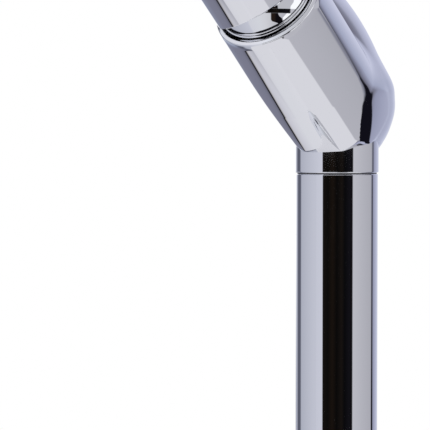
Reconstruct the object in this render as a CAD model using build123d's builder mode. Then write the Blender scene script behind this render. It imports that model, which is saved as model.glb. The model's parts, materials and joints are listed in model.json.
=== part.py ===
from build123d import *
import os
from math import acos, asin, atan, cos, degrees, radians, sin, sqrt, tan

os.makedirs("parts", exist_ok=True)

# A tall single-lever basin mixer. The origin is the centre of the deck face, +Z is up, the spout
# points along -Y towards the user, and the lever stands at the user's right, towards +X.

# Fits
fit = 0.05                     # gap between pieces that screw, press or slide together for good
gap = 0.3                      # least gap beside a piece that moves

# Deck fixing
deck_thickness = 20
flange_radius = 27
flange_height = 8
flange_rim_height = 5
flange_top_land = 1.6
flange_edge = 0.8
lip_radius = 15.2
lip_height = 4
gasket_outer_radius = 25.2
gasket_inner_radius = 19.5
gasket_thickness = 2
plug_flange_thickness = 2
plug_body_height = 12
stud_radius = 4
stud_y = -11
stud_length = 72
stud_chamfer = 0.7
clamp_radius = 24
clamp_washer_thickness = 3
clamp_plate_thickness = 2.5
clamp_slot_half_width = 13.2
clamp_slot_floor_y = -2.4
clamp_slot_corner = 4
nut_across_flats = 13
nut_height = 14
nut_washer_radius = 8.5
nut_washer_thickness = 1.5

# Supply tails
tail_radius = 5
tail_wall = 1
tail_x = 7.5
tail_y = 3.5
tail_bottom = -78
tail_groove_rise = 14          # the connector's clip groove, up from the tail's end
tail_groove_height = 1.6
tail_groove_depth = 0.4
marker_radius = 6.4
marker_height = 12
marker_rise = 18
port_depth = 8
port_seal_radius = 6.6
port_seal_height = 1.8
port_seal_rise = 2.2

# Column
column_radius = 17.5
column_wall = 1.5
column_edge = 0.35
seam_height = 165
seam_thickness = 0.5
seam_ring_inset = 0.5
seam_ring_width = 1.0
coupler_wall = 2
coupler_below = 14
coupler_above = 8

# Body casting
collar_radius = 17.8
collar_edge = 0.5
collar_height = 11.5
axis_rise = 25.2               # from the seam up to where the slanted axis meets the column's
lean = 52                      # housing axis, degrees from the vertical
housing_radius = 23
housing_root_radius = 23.5
housing_length = 73.3          # from the column's axis to the rim
housing_root = 27              # where the straight barrel starts, from the column's axis
rim_edge = 0.6
heel_radius = 23.9
heel_half_height = 22
heel_rise = 26.7
heel_shift = 1.0               # the heel bulges this far to the rear and to the hot side
heel_angle = 119.6

# Spout
spout_root_rise = 17.3
spout_start_share = 0.055      # along the spout's path, inside the heel
spout_root_radius = 25.2
spout_bend_radius = 75.6
spout_bend = 46
spout_arch_radius = 115
spout_arch = 44
spout_tip_bend_radius = 36
spout_tip_bend = 50
spout_tip_radius = 14
spout_mid_radius = 19.5
spout_wall = 3
spout_sections = 10
cavity_flare = 4
tip_edge = 0.6

# Waterways
inlet_passage_radius = 3
outlet_passage_radius = 3.5
cavity_start_radius = 10
cavity_start_share = 0.13      # along the spout's path
cavity_entry_share = 0.03      # how far past its start the outlet passage enters the cavity

# Aerator
thread_radius = 12
thread_depth = 12
aerator_wall = 1.5
aerator_flange_radius = 13.2
aerator_flange_height = 2.4
aerator_lip = 1
washer_thickness = 1.5
washer_width = 2.6
insert_height = 7
insert_wall = 1
mesh_pitch = 2.6
mesh_hole_radius = 1.0
mesh_thickness = 1.2
mesh_rows = 3

# Cartridge, measured down from the housing's rim
chamber_depth = 36
chamber_radius = 17.5
neck_thread_radius = 19
neck_thread_depth = 8
cover_seat_radius = 20.5
cover_seat_depth = 3
inlet_port_radius = 2.2
inlet_port_x = 5.2
inlet_port_y = 5.4
outlet_port_radius = 2.9
outlet_port_x = -6.5
seal_ring_width = 1.3
seal_ring_height = 1.4
base_height = 6
locating_pin_radius = 1.5
locating_pin_length = 2.5
locating_pin_x = -4
locating_pin_y = 12.5
fixed_disc_radius = 14.5
disc_thickness = 3.5
disc_gap = 0.1
moving_disc_radius = 12.4
disc_pocket_depth = 1.8
disc_pocket_half_width = 2.5
disc_pocket_back = -10
disc_pocket_front = 9.4
disc_cross_width = 3.8
disc_cross_half_length = 6.6
disc_chamber_radius = 15.8
carrier_radius = 12.6
carrier_height = 8
carrier_guide_half_width = 8.2
carrier_guide_height = 2.2
rotor_flange_radius = 13.9
rotor_flange_height = 3.6
rotor_neck_radius = 11
rotor_drop = 1.5               # from the rim down to the rotor's top
rotor_slot_half_length = 5.7
rail_width = 2
rail_half_length = 9
neck_radius = 13.4
neck_drop = 3                  # from the rim down to the neck's top
limit_ring_height = 1.4
rotor_seal_depth = 1.1
rotor_seal_height = 1.6
rotor_seal_drop = 6.8
nut_hex_across_flats = 30
nut_hex_height = 4
nut_hex_rise = 2               # the hexagon stands this far above the rim

# Lever spindle and its pivot
pivot_drop = 5
pivot_pin_radius = 1.5
pivot_pin_length = 20
spindle_width = 8
spindle_chamfer = 0.7
spindle_length = 30.5
spindle_tilt = 12.5            # the closed spindle leans this far back from the housing's axis
spindle_arm = 12
spindle_arm_width = 4
spindle_ball_radius = 3

# Trim cover over the cartridge
cover_step_1_radius = 20.6
cover_step_2_radius = 19.9
cover_step_height = 1.1
cover_radius = 20.4
cover_wall = 1.3
cover_hole_radius = 10.5

# Handle
turn_mid = 45                  # where the closed handle's open side points, about the slanted axis
cap_radius = 21.8
cap_wall = 1.7
cap_height = 34
cap_top_edge = 2.4
cap_foot_edge = 0.5
cap_lift = 2.6                 # from the rim up to the cap's foot
cap_top_thickness = 6
notch_angle = 27.5
notch_rise = 2.6               # from the rim up to where the slanting cut crosses the axis
boss_radius = 8.5
boss_start = 21.4
cross_boss_radius = 5.4
screw_radius = 2.5
screw_length = 6
screw_key = 2.5
screw_height = 28              # from the pivot, along the spindle
plug_radius = 4
plug_thickness = 1.6
plug_stem_length = 4
lever_length = 72
lever_bend = 50
lever_sections = 6
lever_corner_share = 0.42
lever_end_edge = 1.5
lever_root_width = 15
lever_root_depth = 9
lever_tip_width = 11
lever_tip_depth = 5.5
lever_offset = 6
lever_spigot_radius = 3
lever_spigot_length = 4.5


def finish(piece, label):
    piece.part.label = label
    export_step(piece.part, f"parts/{label}.step")


def along(start, end):
    """Plane at start that looks towards end."""
    return Plane(origin=start, z_dir=Vector(*end) - Vector(*start))


# Frames of the slanted housing: local z runs along the axis, local x points at the side where
# the closed handle stands open, and the lever leans the other way.
axis_height = seam_height + axis_rise
slant = Plane(
    origin=(0, 0, axis_height),
    x_dir=(cos(radians(lean)), 0, -sin(radians(lean))),
    z_dir=(sin(radians(lean)), 0, cos(radians(lean))),
)
slant_turned = Plane(slant.location * Rot(0, 0, turn_mid))
rim = slant_turned.offset(housing_length)
pivot = rim.offset(-pivot_drop)
spindle = Plane(pivot.location * Rot(0, -spindle_tilt, 0))


def at_rim(x, y, z):
    return rim.from_local_coords((x, y, z))


# Deck fixing
column_seat = column_radius + fit
plug_top = lip_height + plug_flange_thickness
column_bore = column_radius - column_wall

with BuildPart() as base_flange:
    with BuildSketch(Plane.XZ):
        with BuildLine():
            Polyline(
                (lip_radius, 0),
                (gasket_inner_radius - fit, 0),
                (gasket_inner_radius - fit, gasket_thickness),
                (gasket_outer_radius + fit, gasket_thickness),
                (gasket_outer_radius + fit, 0),
                (flange_radius, 0),
                (flange_radius, flange_rim_height),
                (column_seat + flange_top_land, flange_height),
                (column_seat, flange_height),
                (column_seat, lip_height),
                (lip_radius, lip_height),
                close=True,
            )
        make_face()
    revolve(axis=Axis.Z)
    widest = base_flange.edges().filter_by(GeomType.CIRCLE).group_by(SortBy.RADIUS)[-1]
    fillet(widest.sort_by(Axis.Z)[-1:], flange_edge)
finish(base_flange, "base_flange")

with BuildPart() as base_gasket:
    with BuildSketch():
        Circle(gasket_outer_radius)
        Circle(gasket_inner_radius, mode=Mode.SUBTRACT)
    extrude(amount=gasket_thickness)
finish(base_gasket, "base_gasket")

with BuildPart() as column_plug:
    with BuildSketch(Plane.XY.offset(lip_height)):
        Circle(column_radius - fit)
    extrude(amount=plug_flange_thickness)
    with BuildSketch(Plane.XY.offset(plug_top)):
        Circle(column_bore - fit)
    extrude(amount=plug_body_height)
    with BuildSketch(Plane.XY.offset(lip_height)):
        with Locations((-tail_x, tail_y), (tail_x, tail_y)):
            Circle(tail_radius + fit)
        with Locations((0, stud_y)):
            Circle(stud_radius + fit)
    extrude(amount=plug_flange_thickness + plug_body_height, mode=Mode.SUBTRACT)
finish(column_plug, "column_plug")

with BuildPart() as fixing_stud:
    with BuildSketch(Plane.XY.offset(plug_top + plug_body_height)):
        with Locations((0, stud_y)):
            Circle(stud_radius)
    extrude(amount=-stud_length)
    chamfer(fixing_stud.edges().filter_by(GeomType.CIRCLE), stud_chamfer)
finish(fixing_stud, "fixing_stud")


def horseshoe(top, thickness, hole_radius):
    """Round plate with a stud hole, open at the rear for the supply tails."""
    slot_length = clamp_radius - clamp_slot_floor_y
    with BuildPart() as plate:
        with BuildSketch(Plane.XY.offset(top - thickness)):
            Circle(clamp_radius)
            with Locations((0, clamp_slot_floor_y + slot_length / 2)):
                Rectangle(2 * clamp_slot_half_width, slot_length, mode=Mode.SUBTRACT)
            with Locations((0, stud_y)):
                Circle(hole_radius, mode=Mode.SUBTRACT)
        extrude(amount=thickness)
        upright = plate.edges().filter_by(Axis.Z)
        low, high = clamp_slot_floor_y - fit, clamp_slot_floor_y + fit
        fillet(upright.filter_by_position(Axis.Y, low, high), clamp_slot_corner)
    return plate


clamp_washer_top = -deck_thickness
clamp_plate_top = clamp_washer_top - clamp_washer_thickness
nut_washer_top = clamp_plate_top - clamp_plate_thickness
nut_top = nut_washer_top - nut_washer_thickness

clamp_washer = horseshoe(clamp_washer_top, clamp_washer_thickness, stud_radius + gap)
finish(clamp_washer, "clamp_washer")

clamp_plate = horseshoe(clamp_plate_top, clamp_plate_thickness, stud_radius + gap)
finish(clamp_plate, "clamp_plate")

with BuildPart() as clamp_nut:
    with BuildSketch(Plane.XY.offset(nut_top)):
        with Locations((0, stud_y)):
            RegularPolygon(nut_across_flats / 2, 6, major_radius=False)
    extrude(amount=-nut_height)
    with BuildSketch(Plane.XY.offset(nut_washer_top)):
        with Locations((0, stud_y)):
            Circle(nut_washer_radius)
    extrude(amount=-nut_washer_thickness)
    with BuildSketch(Plane.XY.offset(nut_washer_top)):
        with Locations((0, stud_y)):
            Circle(stud_radius + fit)
    extrude(amount=-nut_height - nut_washer_thickness, mode=Mode.SUBTRACT)
finish(clamp_nut, "clamp_nut")

# Column
with BuildPart() as column_tube:
    with BuildSketch(Plane.XY.offset(plug_top)):
        Circle(column_radius)
        Circle(column_bore, mode=Mode.SUBTRACT)
    extrude(amount=seam_height - plug_top)
    chamfer(column_tube.edges().group_by(Axis.Z)[-1].sort_by(SortBy.RADIUS)[-1:], column_edge)
finish(column_tube, "column_tube")

with BuildPart() as column_coupler:
    with BuildSketch(Plane.XY.offset(seam_height - coupler_below)):
        Circle(column_bore - fit)
        Circle(column_bore - coupler_wall, mode=Mode.SUBTRACT)
    extrude(amount=coupler_below + seam_thickness + coupler_above)
finish(column_coupler, "column_coupler")

with BuildPart() as seam_ring:
    with BuildSketch(Plane.XY.offset(seam_height)):
        Circle(column_radius - seam_ring_inset)
        Circle(column_radius - seam_ring_inset - seam_ring_width, mode=Mode.SUBTRACT)
    extrude(amount=seam_thickness)
finish(seam_ring, "seam_ring")

# Supply tails
collar_bottom = seam_height + seam_thickness
port_mouth = collar_bottom + coupler_above + fit
tail_top = port_mouth + port_depth

for side, name in ((-1, "hot"), (1, "cold")):
    with BuildPart() as tail:
        with BuildSketch(Plane.XY.offset(tail_bottom)):
            with Locations((side * tail_x, tail_y)):
                Circle(tail_radius)
                Circle(tail_radius - tail_wall, mode=Mode.SUBTRACT)
        extrude(amount=tail_top - tail_bottom)
        chamfer(tail.edges().group_by(Axis.Z)[0].sort_by(SortBy.RADIUS)[-1:], tail_wall / 2)
        with BuildSketch(Plane.XY.offset(tail_bottom + tail_groove_rise)):
            with Locations((side * tail_x, tail_y)):
                Circle(tail_radius)
                Circle(tail_radius - tail_groove_depth, mode=Mode.SUBTRACT)
        extrude(amount=tail_groove_height, mode=Mode.SUBTRACT)
    finish(tail, f"{name}_supply_tail")
    with BuildPart() as marker:
        with BuildSketch(Plane.XY.offset(tail_bottom + marker_rise)):
            with Locations((side * tail_x, tail_y)):
                Circle(marker_radius)
                Circle(tail_radius + fit, mode=Mode.SUBTRACT)
        extrude(amount=marker_height)
    finish(marker, f"{name}_marker_sleeve")

with BuildPart() as tail_seals:
    with BuildSketch(Plane.XY.offset(port_mouth + port_seal_rise)):
        with Locations((-tail_x, tail_y), (tail_x, tail_y)):
            Circle(port_seal_radius)
            Circle(tail_radius + fit, mode=Mode.SUBTRACT)
    extrude(amount=port_seal_height)
finish(tail_seals, "tail_seals")

# Spout path and sections
with BuildLine(Plane.YZ) as spout_path:
    bend = JernArc((0, seam_height + spout_root_rise), (0, 1), spout_bend_radius, spout_bend)
    arch = JernArc(bend @ 1, bend % 1, spout_arch_radius, spout_arch)
    JernArc(arch @ 1, arch % 1, spout_tip_bend_radius, spout_tip_bend)
spout_wire = spout_path.wires()[0]
bend_share = bend.length / spout_wire.length
tip = Plane(origin=spout_wire @ 1, z_dir=spout_wire % 1)


def spout_radius(share):
    if share < bend_share:
        return spout_root_radius + (spout_mid_radius - spout_root_radius) * share / bend_share
    beyond = (share - bend_share) / (1 - bend_share)
    return spout_mid_radius + (spout_tip_radius - spout_mid_radius) * beyond


def spout_plane(share):
    return Plane(origin=spout_wire @ share, x_dir=(1, 0, 0), z_dir=spout_wire % share)


def shares_from(start):
    return [start + (1 - start) * step / spout_sections for step in range(spout_sections + 1)]


def cavity_radius(share):
    full = spout_radius(share) - spout_wall
    opening = (share - cavity_start_share) / (1 - cavity_start_share)
    return min(full, cavity_start_radius + (full - cavity_start_radius) * opening * cavity_flare)


locating_pins = ((locating_pin_x, -locating_pin_y), (locating_pin_x, locating_pin_y))

# Body casting: collar, slanted cartridge barrel, heel and spout in one piece
with BuildPart() as mixer_body:
    with BuildSketch(Plane.XY.offset(collar_bottom)):
        Circle(collar_radius)
    extrude(amount=seam_height + collar_height - collar_bottom)
    with BuildSketch(Plane.XY.offset(seam_height + collar_height)):
        Circle(collar_radius)
    with BuildSketch(slant.offset(housing_root)):
        Circle(housing_root_radius)
    loft(ruled=True)
    with BuildSketch(slant.offset(housing_root)):
        Circle(housing_root_radius)
    barrel_length = housing_length - housing_root
    barrel_taper = degrees(atan((housing_root_radius - housing_radius) / barrel_length))
    extrude(amount=barrel_length, taper=barrel_taper)
    heel_x = heel_shift * cos(radians(heel_angle))
    heel_y = heel_shift * sin(radians(heel_angle))
    heel_side = Plane(origin=(heel_x, heel_y, seam_height + heel_rise), x_dir=(1, 0, 0), z_dir=(0, -1, 0))
    with BuildSketch(heel_side):
        with BuildLine():
            EllipticalCenterArc((0, 0), heel_radius, heel_half_height, start_angle=-90, arc_size=180)
            Line((0, heel_half_height), (0, -heel_half_height))
        make_face()
    revolve(axis=Axis(heel_side.origin, (0, 0, 1)))
    for share in shares_from(spout_start_share):
        with BuildSketch(spout_plane(share)):
            Circle(spout_radius(share))
    loft()
    chamfer(mixer_body.edges().group_by(Axis.Z)[0], collar_edge)
    # the hollow spout
    for share in shares_from(cavity_start_share):
        with BuildSketch(spout_plane(share)):
            Circle(cavity_radius(share))
    loft(mode=Mode.SUBTRACT)
    with BuildSketch(tip):
        Circle(thread_radius + fit)
    extrude(amount=-thread_depth, mode=Mode.SUBTRACT)
    # sockets for the column's coupler and the supply tails
    with BuildSketch(Plane.XY.offset(collar_bottom)):
        Circle(column_bore)
    extrude(amount=port_mouth - collar_bottom, mode=Mode.SUBTRACT)
    with BuildSketch(Plane.XY.offset(port_mouth)):
        with Locations((-tail_x, tail_y), (tail_x, tail_y)):
            Circle(tail_radius + fit)
    extrude(amount=port_depth + fit, mode=Mode.SUBTRACT)
    with BuildSketch(Plane.XY.offset(port_mouth + port_seal_rise)):
        with Locations((-tail_x, tail_y), (tail_x, tail_y)):
            Circle(port_seal_radius)
    extrude(amount=port_seal_height, mode=Mode.SUBTRACT)
    # cartridge chamber
    for radius, depth in (
        (chamber_radius, chamber_depth),
        (neck_thread_radius, neck_thread_depth),
        (cover_seat_radius, cover_seat_depth),
    ):
        with BuildSketch(rim):
            Circle(radius)
        extrude(amount=-depth, mode=Mode.SUBTRACT)
    with BuildSketch(rim.offset(-chamber_depth)):
        with Locations(*locating_pins):
            Circle(locating_pin_radius + fit)
    extrude(amount=-locating_pin_length - fit, mode=Mode.SUBTRACT)
    # passages from the tails and to the spout
    for side in (-1, 1):
        inlet_port = at_rim(inlet_port_x, -side * inlet_port_y, -chamber_depth)
        passage = along((side * tail_x, tail_y, tail_top), inlet_port)
        with BuildSketch(passage):
            Circle(inlet_passage_radius)
        extrude(amount=(inlet_port - passage.origin).length, mode=Mode.SUBTRACT)
    outlet_port = at_rim(outlet_port_x, 0, -chamber_depth)
    cavity_start = spout_wire @ (cavity_start_share + cavity_entry_share)
    with BuildSketch(along(outlet_port, cavity_start)):
        Circle(outlet_passage_radius)
    extrude(amount=(cavity_start - outlet_port).length, mode=Mode.SUBTRACT)
    rim_edges = mixer_body.edges().group_by(Axis(rim.origin, rim.z_dir))[-1]
    fillet(rim_edges.sort_by(SortBy.RADIUS)[-1], rim_edge)
    tip_face = mixer_body.faces().filter_by(GeomType.PLANE).sort_by_distance(tip.origin)[0]
    fillet(tip_face.outer_wire().edges(), tip_edge)
finish(mixer_body, "mixer_body")

# Aerator, screwed into the spout's tip
tip_side = Plane(origin=tip.origin, x_dir=tip.x_dir, z_dir=-tip.y_dir)
tip_axis = Axis(tip.origin, tip.z_dir)
housing_back = washer_thickness - thread_depth
aerator_bore = thread_radius - aerator_wall

with BuildPart() as aerator_washer:
    with BuildSketch(tip.offset(-thread_depth)):
        Circle(thread_radius)
        Circle(thread_radius - washer_width, mode=Mode.SUBTRACT)
    extrude(amount=washer_thickness)
finish(aerator_washer, "aerator_washer")

with BuildPart() as aerator_housing:
    with BuildSketch(tip_side):
        with BuildLine():
            Polyline(
                (aerator_bore, housing_back),
                (thread_radius, housing_back),
                (thread_radius, 0),
                (aerator_flange_radius, 0),
                (aerator_flange_radius, aerator_flange_height),
                (aerator_bore - aerator_lip, aerator_flange_height),
                (aerator_bore - aerator_lip, aerator_flange_height - aerator_lip),
                (aerator_bore, aerator_flange_height - aerator_lip),
                close=True,
            )
        make_face()
    revolve(axis=tip_axis)
    outer_rim = aerator_housing.edges().filter_by(GeomType.CIRCLE).group_by(SortBy.RADIUS)[-1]
    fillet(outer_rim.sort_by(tip_axis)[-1:], tip_edge)
finish(aerator_housing, "aerator_housing")

mesh_points = []
for row in range(-mesh_rows, mesh_rows + 1):
    for column in range(-mesh_rows, mesh_rows + 1):
        if abs(row + column) <= mesh_rows:
            mesh_points.append((mesh_pitch * (column + row / 2), mesh_pitch * row * sqrt(3) / 2))

insert_front = aerator_flange_height - aerator_lip - fit
with BuildPart() as aerator_insert:
    with BuildSketch(tip.offset(insert_front)):
        Circle(aerator_bore - fit)
    extrude(amount=-insert_height)
    with BuildSketch(tip.offset(insert_front - mesh_thickness)):
        Circle(aerator_bore - fit - insert_wall)
    extrude(amount=mesh_thickness - insert_height, mode=Mode.SUBTRACT)
    with BuildSketch(tip.offset(insert_front)):
        with Locations(*mesh_points):
            Circle(mesh_hole_radius)
    extrude(amount=-mesh_thickness, mode=Mode.SUBTRACT)
finish(aerator_insert, "aerator_insert")

# Cartridge, stacked up from the chamber's floor
floor = -chamber_depth
inlet_ports = ((inlet_port_x, -inlet_port_y), (inlet_port_x, inlet_port_y))
outlet_ports = ((outlet_port_x, 0),)
base_top = floor + base_height
fixed_disc_top = base_top + disc_thickness
moving_disc_bottom = fixed_disc_top + disc_gap
moving_disc_top = moving_disc_bottom + disc_thickness
carrier_top = moving_disc_top + carrier_height
carrier_shoulder = carrier_top - carrier_guide_height
rotor_bottom = carrier_top + gap
rotor_shoulder = rotor_bottom + rotor_flange_height
disc_travel_half = spindle_arm * sin(radians(spindle_tilt))
ball_lowest = -pivot_drop - spindle_arm - spindle_ball_radius

with BuildPart() as cartridge_base:
    with BuildSketch(rim.offset(floor)):
        Circle(chamber_radius - 2 * fit)
    extrude(amount=base_height)
    with BuildSketch(rim.offset(floor)):
        with Locations(*inlet_ports):
            Circle(inlet_port_radius)
        with Locations(*outlet_ports):
            Circle(outlet_port_radius)
    extrude(amount=base_height, mode=Mode.SUBTRACT)
    with BuildSketch(rim.offset(floor)):
        with Locations(*inlet_ports):
            Circle(inlet_port_radius + seal_ring_width)
        with Locations(*outlet_ports):
            Circle(outlet_port_radius + seal_ring_width)
    extrude(amount=seal_ring_height, mode=Mode.SUBTRACT)
    with BuildSketch(rim.offset(floor)):
        with Locations(*locating_pins):
            Circle(locating_pin_radius)
    extrude(amount=-locating_pin_length)
finish(cartridge_base, "cartridge_base")

with BuildPart() as cartridge_seals:
    with BuildSketch(rim.offset(floor)):
        with Locations(*inlet_ports):
            Circle(inlet_port_radius + seal_ring_width - fit)
            Circle(inlet_port_radius, mode=Mode.SUBTRACT)
        with Locations(*outlet_ports):
            Circle(outlet_port_radius + seal_ring_width - fit)
            Circle(outlet_port_radius, mode=Mode.SUBTRACT)
    extrude(amount=seal_ring_height)
finish(cartridge_seals, "cartridge_seals")

with BuildPart() as fixed_disc:
    with BuildSketch(rim.offset(base_top)):
        Circle(fixed_disc_radius)
        with Locations(*inlet_ports):
            Circle(inlet_port_radius, mode=Mode.SUBTRACT)
        with Locations(*outlet_ports):
            Circle(outlet_port_radius, mode=Mode.SUBTRACT)
    extrude(amount=disc_thickness)
finish(fixed_disc, "fixed_disc")

with BuildPart() as moving_disc:
    with BuildSketch(rim.offset(moving_disc_bottom)):
        with Locations((disc_travel_half, 0)):
            Circle(moving_disc_radius)
    extrude(amount=disc_thickness)
    with BuildSketch(rim.offset(moving_disc_bottom)):
        bar_middle = (disc_pocket_front + disc_pocket_back) / 2
        with Locations((disc_travel_half + bar_middle, 0)):
            Rectangle(disc_pocket_front - disc_pocket_back, 2 * disc_pocket_half_width)
        with Locations((disc_travel_half + disc_pocket_front - disc_cross_width / 2, 0)):
            Rectangle(disc_cross_width, 2 * disc_cross_half_length)
    extrude(amount=disc_pocket_depth, mode=Mode.SUBTRACT)
finish(moving_disc, "moving_disc")

with BuildPart() as disc_carrier:
    with BuildSketch(rim.offset(moving_disc_top)):
        with Locations((disc_travel_half, 0)):
            Circle(carrier_radius)
    extrude(amount=carrier_height - carrier_guide_height)
    with BuildSketch(rim.offset(carrier_shoulder)):
        with Locations((disc_travel_half, 0)):
            Circle(carrier_radius)
            Rectangle(2 * carrier_radius, 2 * carrier_guide_half_width, mode=Mode.INTERSECT)
    extrude(amount=carrier_guide_height)
    with BuildSketch(rim.offset(carrier_top)):
        with Locations((disc_travel_half, 0)):
            Circle(spindle_ball_radius + gap)
    extrude(amount=ball_lowest - gap - carrier_top, mode=Mode.SUBTRACT)
finish(disc_carrier, "disc_carrier")

with BuildPart() as cartridge_rotor:
    with BuildSketch(rim.offset(rotor_bottom)):
        Circle(rotor_flange_radius)
    extrude(amount=rotor_flange_height)
    with BuildSketch(rim.offset(rotor_shoulder)):
        Circle(rotor_neck_radius)
    extrude(amount=-rotor_drop - rotor_shoulder)
    with BuildSketch(rim.offset(rotor_bottom)):
        rail_y = carrier_guide_half_width + gap + rail_width / 2
        with Locations((0, -rail_y), (0, rail_y)):
            Rectangle(2 * rail_half_length, rail_width)
    extrude(amount=gap - carrier_guide_height)
    with BuildSketch(rim.offset(rotor_bottom)):
        Rectangle(2 * rotor_slot_half_length, spindle_width + 2 * gap)
    extrude(amount=-rotor_drop - rotor_bottom, mode=Mode.SUBTRACT)
    with BuildSketch(rim.offset(-rotor_seal_drop)):
        Circle(rotor_neck_radius)
        Circle(rotor_neck_radius - rotor_seal_depth, mode=Mode.SUBTRACT)
    extrude(amount=-rotor_seal_height, mode=Mode.SUBTRACT)
    with BuildSketch(Plane(origin=pivot.origin, x_dir=pivot.x_dir, z_dir=pivot.y_dir)):
        Circle(pivot_pin_radius)
    extrude(amount=rotor_neck_radius, both=True, mode=Mode.SUBTRACT)
finish(cartridge_rotor, "cartridge_rotor")

with BuildPart() as rotor_seal:
    with BuildSketch(rim.offset(-rotor_seal_drop)):
        Circle(rotor_neck_radius + gap - fit)
        Circle(rotor_neck_radius - rotor_seal_depth, mode=Mode.SUBTRACT)
    extrude(amount=-rotor_seal_height)
finish(rotor_seal, "rotor_seal")

with BuildPart() as pivot_pin:
    with BuildSketch(Plane(origin=pivot.origin, x_dir=pivot.x_dir, z_dir=pivot.y_dir)):
        Circle(pivot_pin_radius)
    extrude(amount=pivot_pin_length / 2, both=True)
finish(pivot_pin, "pivot_pin")

with BuildPart() as cartridge_housing:
    with BuildSketch(rim.offset(base_top)):
        Circle(chamber_radius - 2 * fit)
    extrude(amount=-neck_thread_depth - base_top)
    with BuildSketch(rim.offset(-neck_thread_depth)):
        Circle(neck_radius)
    extrude(amount=neck_thread_depth - neck_drop)
    with BuildSketch(rim.offset(base_top)):
        Circle(disc_chamber_radius)
    extrude(amount=rotor_shoulder + gap - base_top, mode=Mode.SUBTRACT)
    with BuildSketch(rim.offset(rotor_shoulder)):
        Circle(rotor_neck_radius + gap)
    extrude(amount=-neck_drop - rotor_shoulder, mode=Mode.SUBTRACT)
finish(cartridge_housing, "cartridge_housing")

with BuildPart() as limit_ring:
    with BuildSketch(rim.offset(-neck_drop)):
        Circle(neck_radius)
        Circle(rotor_neck_radius + gap, mode=Mode.SUBTRACT)
    extrude(amount=limit_ring_height)
finish(limit_ring, "limit_ring")

with BuildPart() as cartridge_nut:
    with BuildSketch(rim.offset(-neck_thread_depth)):
        Circle(neck_thread_radius - fit)
    extrude(amount=neck_thread_depth + nut_hex_rise - nut_hex_height)
    with BuildSketch(rim.offset(nut_hex_rise - nut_hex_height)):
        RegularPolygon(nut_hex_across_flats / 2, 6, major_radius=False)
    extrude(amount=nut_hex_height)
    with BuildSketch(rim.offset(-neck_thread_depth)):
        Circle(neck_radius + gap)
    extrude(amount=neck_thread_depth + nut_hex_rise, mode=Mode.SUBTRACT)
finish(cartridge_nut, "cartridge_nut")

# Lever spindle
with BuildPart() as cartridge_spindle:
    with BuildSketch(spindle):
        Rectangle(spindle_width, spindle_width)
    extrude(amount=spindle_length)
    chamfer(cartridge_spindle.edges().group_by(Axis(spindle.origin, spindle.z_dir))[-1], spindle_chamfer)
    with BuildSketch(Plane(origin=spindle.origin, x_dir=spindle.x_dir, z_dir=spindle.y_dir)):
        Circle(spindle_width / 2)
    extrude(amount=spindle_width / 2, both=True)
    with BuildSketch(spindle):
        Circle(spindle_arm_width / 2)
    extrude(amount=-spindle_arm)
    with Locations(spindle.offset(-spindle_arm)):
        Sphere(spindle_ball_radius)
    with BuildSketch(Plane(origin=spindle.origin, x_dir=spindle.x_dir, z_dir=spindle.y_dir)):
        Circle(pivot_pin_radius + fit)
    extrude(amount=spindle_width, both=True, mode=Mode.SUBTRACT)
finish(cartridge_spindle, "cartridge_spindle")

# Trim cover: two steps and a dome whose centre is the lever's pivot
rim_side = Plane(origin=rim.origin, x_dir=rim.x_dir, z_dir=-rim.y_dir)
rim_axis = Axis(rim.origin, rim.z_dir)
cover_bore = cover_radius - cover_wall
dome_foot_height = 2 * cover_step_height
dome_foot_radius = sqrt(cover_radius**2 - (pivot_drop + dome_foot_height) ** 2)
dome_top_height = sqrt(cover_radius**2 - cover_hole_radius**2) - pivot_drop
bore_foot_radius = sqrt(cover_bore**2 - pivot_drop**2)
bore_top_height = sqrt(cover_bore**2 - cover_hole_radius**2) - pivot_drop


def on_dome(radius, height):
    """Point half way round the dome's arc up from the given height."""
    low = asin((height + pivot_drop) / radius)
    high = acos(cover_hole_radius / radius)
    middle = (low + high) / 2
    return radius * cos(middle), radius * sin(middle) - pivot_drop


with BuildPart() as dome_cover:
    with BuildSketch(rim_side):
        with BuildLine():
            Polyline(
                (bore_foot_radius, 0),
                (neck_thread_radius + 2 * fit, 0),
                (neck_thread_radius + 2 * fit, -cover_seat_depth),
                (cover_seat_radius - fit, -cover_seat_depth),
                (cover_seat_radius - fit, 0),
                (cover_step_1_radius, 0),
                (cover_step_1_radius, cover_step_height),
                (cover_step_2_radius, cover_step_height),
                (cover_step_2_radius, dome_foot_height),
                (dome_foot_radius, dome_foot_height),
            )
            ThreePointArc(
                (dome_foot_radius, dome_foot_height),
                on_dome(cover_radius, dome_foot_height),
                (cover_hole_radius, dome_top_height),
            )
            Line((cover_hole_radius, dome_top_height), (cover_hole_radius, bore_top_height))
            ThreePointArc(
                (cover_hole_radius, bore_top_height),
                on_dome(cover_bore, 0),
                (bore_foot_radius, 0),
            )
        make_face()
    revolve(axis=rim_axis)
finish(dome_cover, "dome_cover")

# Handle cap: a thick boss takes the spindle, a cross boss takes the set screw from behind
cap_axis = Axis(rim.origin, rim.z_dir)
screw_line = Plane(spindle.offset(screw_height).location * Rot(0, -90, 0))
screw_start = spindle_width / 2
screw_reach = (cap_radius - screw_height * sin(radians(spindle_tilt))) / cos(radians(spindle_tilt))
plug_seat = screw_reach - plug_thickness
notch_start = (cap_lift - notch_rise) / tan(radians(notch_angle))
reach = cap_radius + gap

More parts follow.
